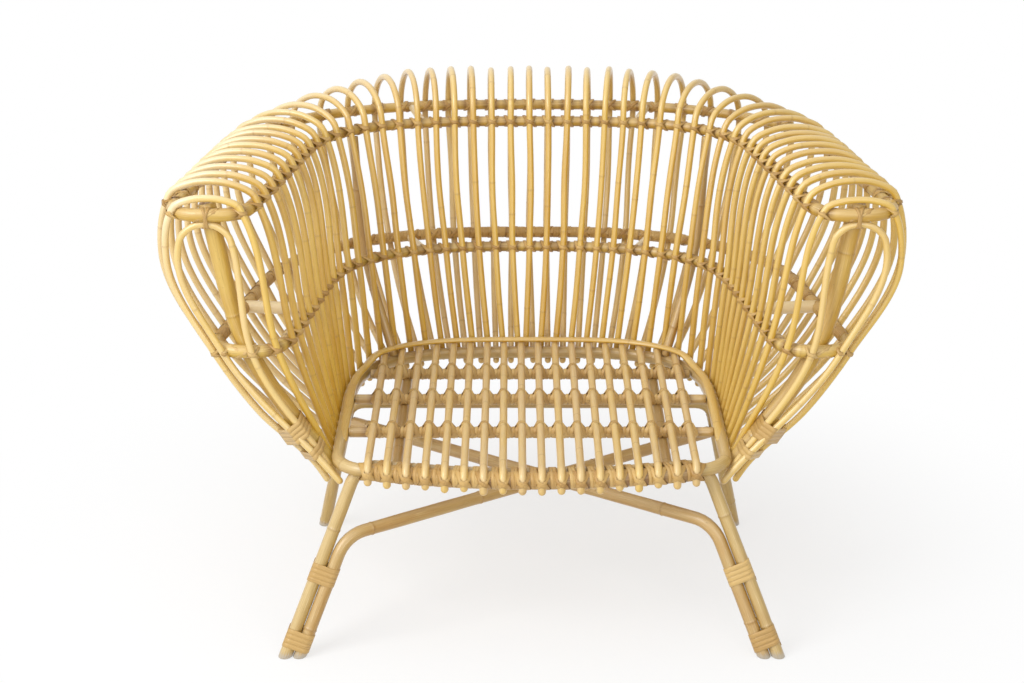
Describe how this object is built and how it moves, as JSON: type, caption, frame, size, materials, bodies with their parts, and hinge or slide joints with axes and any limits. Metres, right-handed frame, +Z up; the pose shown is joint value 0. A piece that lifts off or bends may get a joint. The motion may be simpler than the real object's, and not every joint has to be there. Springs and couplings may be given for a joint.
{
  "type": "rattan chair",
  "caption": "Low rattan lounge chair: a wrap-round fan of hairpin rods over paired rails, an open rod seat on a hoop, splayed legs and crossed braces.",
  "frame": {"origin": "on the floor, under the middle of the chair's overall width and depth", "axes": "+X to the right of someone looking at the chair's front, -Y out of its front, +Z up"},
  "size_m": [1.1188, 0.83, 0.7476],
  "materials": {
    "pole_cane": "satin lacquer",
    "rod_cane": "gloss lacquer",
    "deck_cane": "satin lacquer"
  },
  "bodies": {
    "root": {"seat_hoop": "pole_cane", "front_leg_hoop": "pole_cane", "rear_leg_hoop": "pole_cane", "cross_brace": "pole_cane", "left_arm_post": "pole_cane", "right_arm_post": "pole_cane", "upper_inner_rail": "pole_cane", "upper_outer_rail": "pole_cane", "middle_inner_rail": "pole_cane", "middle_outer_rail": "pole_cane", "seat_deck": "deck_cane", "left_front_loop": "rod_cane", "right_front_loop": "rod_cane", "hairpin_01": "rod_cane", "hairpin_02": "rod_cane", "hairpin_03": "rod_cane", "hairpin_04": "rod_cane", "hairpin_05": "rod_cane", "hairpin_06": "rod_cane", "hairpin_07": "rod_cane", "hairpin_08": "rod_cane", "hairpin_09": "rod_cane", "hairpin_10": "rod_cane", "hairpin_11": "rod_cane", "hairpin_12": "rod_cane", "hairpin_13": "rod_cane", "hairpin_14": "rod_cane", "hairpin_15": "rod_cane", "hairpin_16": "rod_cane", "hairpin_17": "rod_cane", "hairpin_18": "rod_cane", "hairpin_19": "rod_cane", "hairpin_20": "rod_cane", "hairpin_21": "rod_cane", "hairpin_22": "rod_cane", "hairpin_23": "rod_cane", "hairpin_24": "rod_cane", "hairpin_25": "rod_cane", "hairpin_26": "rod_cane", "hairpin_27": "rod_cane", "hairpin_28": "rod_cane", "hairpin_29": "rod_cane", "hairpin_30": "rod_cane", "hairpin_31": "rod_cane", "hairpin_32": "rod_cane", "hairpin_33": "rod_cane", "hairpin_34": "rod_cane", "hairpin_35": "rod_cane", "hairpin_36": "rod_cane", "hairpin_37": "rod_cane", "hairpin_38": "rod_cane", "hairpin_39": "rod_cane", "hairpin_40": "rod_cane", "hairpin_41": "rod_cane", "hairpin_42": "rod_cane", "hairpin_43": "rod_cane", "hairpin_44": "rod_cane", "hairpin_45": "rod_cane", "hairpin_46": "rod_cane", "hairpin_47": "rod_cane"}
  },
  "joints": []
}
